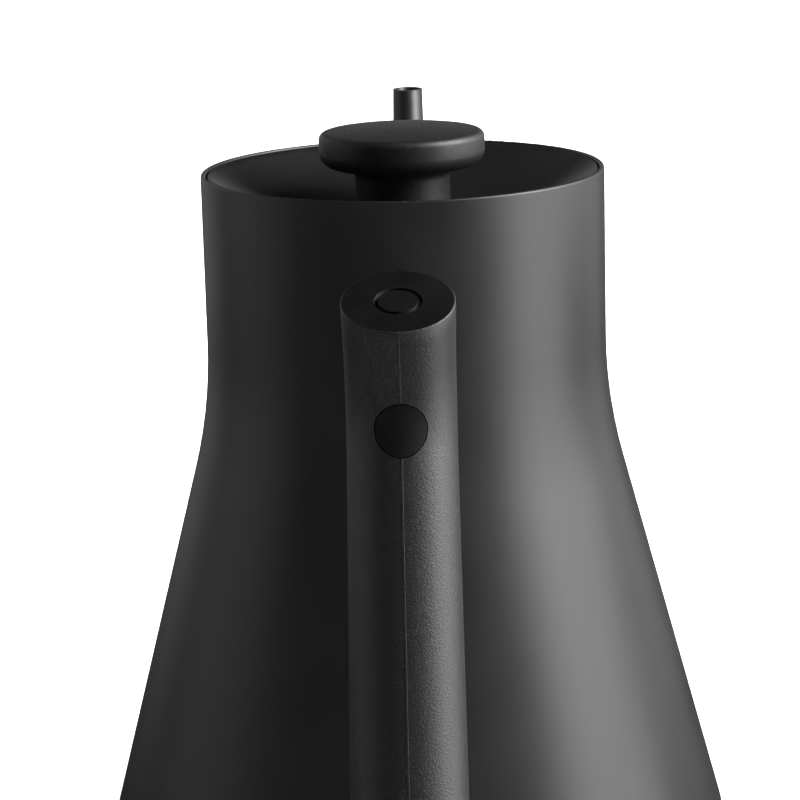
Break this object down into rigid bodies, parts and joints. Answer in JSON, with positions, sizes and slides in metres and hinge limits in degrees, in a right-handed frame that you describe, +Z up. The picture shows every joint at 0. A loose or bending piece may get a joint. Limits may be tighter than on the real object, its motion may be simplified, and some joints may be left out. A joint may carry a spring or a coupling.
{
  "type": "gooseneck kettle",
  "caption": "Cordless gooseneck kettle: cone-shaped matte black body, slim pouring spout, bent bar handle on one arm, lift-off lid with a round knob.",
  "frame": {"origin": "on the body's axis, in the plane that the foot ring stands on", "axes": "+Z up along the body's axis, +Y towards the spout, -Y towards the handle"},
  "size_m": [0.1422, 0.2619, 0.174],
  "materials": {
    "body_coating": "matte black baked coating, fine and smooth",
    "stainless": "satin drawn stainless steel",
    "spreader_aluminium": "as-cast mill finish",
    "element_sheath": "heat-tinted sheath",
    "plated_steel": "bright zinc plate",
    "black_oxide": "black oxide on steel screws",
    "brass": "machined brass",
    "grip_plastic": "black moulding with a fine spark-eroded grain",
    "knob_plastic": "black moulding with a very fine grain",
    "base_plastic": "black moulding, light grain",
    "connector_plastic": "dark grey heat-resistant moulding",
    "black_silicone": "matte black silicone",
    "clear_silicone": "milky silicone",
    "lead_live": "brown insulation",
    "lead_neutral": "blue insulation",
    "lead_earth": "green and yellow insulation",
    "lead_signal": "white insulation"
  },
  "bodies": {
    "kettle": {"body_shell": "body_coating", "lid_seat": "stainless", "spout_tube": "body_coating", "flow_restrictor": "stainless", "chamber_floor": "stainless", "heat_spreader": "spreader_aluminium", "heating_element": "element_sheath", "element_tabs": "plated_steel", "pillars": "plated_steel", "temperature_probe": "stainless", "probe_grommet": "clear_silicone", "connector_housing": "connector_plastic", "connector_screws": "plated_steel", "connector_blades": "brass", "live_pin": "brass", "neutral_ring": "brass", "earth_ring": "brass", "signal_ring": "brass", "thermal_cutouts": "stainless", "live_lead": "lead_live", "neutral_lead": "lead_neutral", "earth_lead": "lead_earth", "probe_lead": "lead_signal", "base_cover": "base_plastic", "base_seal": "black_silicone", "base_screws": "plated_steel", "foot_ring": "black_silicone", "arm_boss": "stainless", "handle_arm": "body_coating", "handle_grip": "grip_plastic", "handle_weight": "plated_steel", "handle_end_cap": "grip_plastic", "handle_screw": "black_oxide", "handle_washer": "black_oxide", "screw_plug": "black_silicone"},
    "lid": {"lid_dish": "body_coating", "lid_liner": "stainless", "lid_seal": "black_silicone", "lid_spacer": "stainless", "knob": "knob_plastic", "knob_insert": "brass", "knob_screw": "stainless", "knob_washer": "stainless"}
  },
  "joints": [
    {"name": "lid_lift", "type": "slide", "parent": "kettle", "child": "lid", "axis": [0, 0, 1], "range_m": [0, 0.06]}
  ]
}
